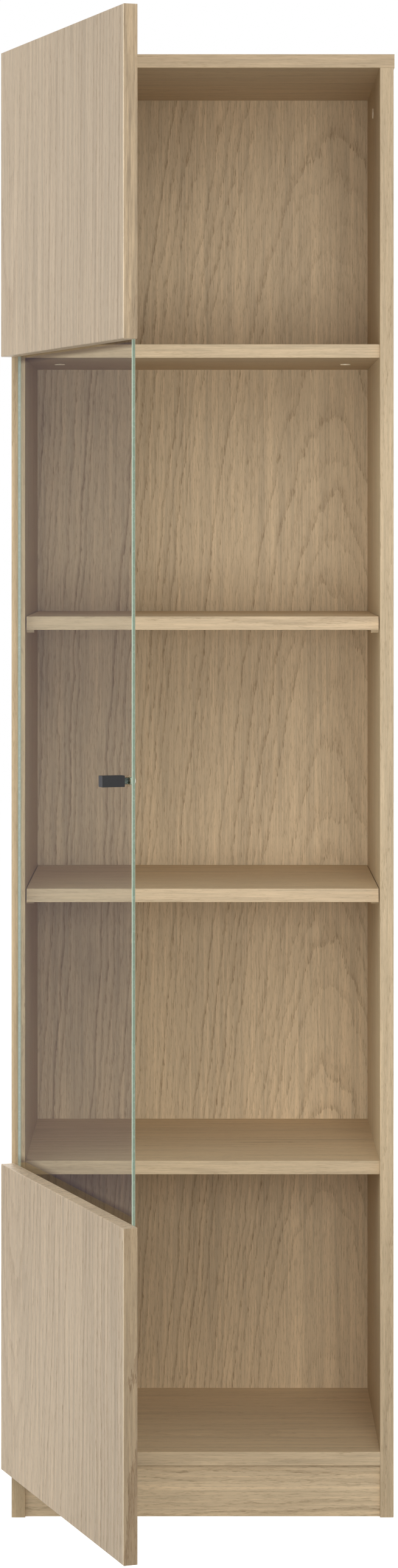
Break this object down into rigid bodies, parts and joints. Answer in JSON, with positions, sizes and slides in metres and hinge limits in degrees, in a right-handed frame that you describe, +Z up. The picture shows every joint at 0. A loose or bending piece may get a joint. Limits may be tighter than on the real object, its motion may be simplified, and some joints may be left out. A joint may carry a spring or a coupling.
{
  "type": "bookcase",
  "caption": "Tall narrow oak bookcase with shelves and one side-hung door: a clear glass pane between wooden panels, with a small square knob.",
  "frame": {"origin": "on the floor, in the middle of the plinth's underside", "axes": "+Z up, front towards -Y, +X to the right as seen from the front"},
  "size_m": [0.4628, 0.7676, 1.7232],
  "materials": {
    "oak_veneer": "matt lacquered oak veneer",
    "oak_back": "oak-grained hardboard",
    "beech": "plain",
    "zinc_steel": "zinc plated",
    "nickel_steel": "nickel plated",
    "beige_plastic": "moulded",
    "clear_plastic": "translucent moulded",
    "anthracite_metal": "satin powder coat",
    "glass": "clear, ground edges"
  },
  "bodies": {
    "carcass": {"side_left": "oak_veneer", "side_right": "oak_veneer", "top_panel": "oak_veneer", "bottom_panel": "oak_veneer", "fixed_shelf_lower": "oak_veneer", "fixed_shelf_upper": "oak_veneer", "loose_shelf_lower": "oak_veneer", "loose_shelf_upper": "oak_veneer", "plinth": "oak_veneer", "back_panel": "oak_back", "dowels": "beech", "cam_bolts": "zinc_steel", "cam_locks": "zinc_steel", "back_nails": "zinc_steel", "hinge_pins": "zinc_steel", "hinge_carcass_screws": "zinc_steel", "hinge_carcass_leaf_1": "nickel_steel", "hinge_carcass_leaf_2": "nickel_steel", "hinge_carcass_leaf_3": "nickel_steel", "hinge_carcass_leaf_4": "nickel_steel", "cam_covers": "beige_plastic", "shelf_pins_lower": "beige_plastic", "shelf_pins_upper": "beige_plastic"},
    "door": {"door_panel_lower": "oak_veneer", "door_panel_upper": "oak_veneer", "hinge_door_screws": "zinc_steel", "glass_screws": "zinc_steel", "knob_screw": "zinc_steel", "hinge_door_leaf_1": "nickel_steel", "hinge_door_leaf_2": "nickel_steel", "hinge_door_leaf_3": "nickel_steel", "hinge_door_leaf_4": "nickel_steel", "knob_neck": "nickel_steel", "glass_sleeves": "clear_plastic", "knob_washer_outer": "clear_plastic", "knob_washer_inner": "clear_plastic", "door_buffers": "clear_plastic", "knob_body": "anthracite_metal", "glass_pane": "glass"}
  },
  "joints": [
    {"name": "door_swing", "type": "hinge", "parent": "carcass", "child": "door", "pos_m": [-0.2235, -0.0163, 0.8924], "axis": [0, 0, -1], "range_deg": [-70, 40]}
  ]
}
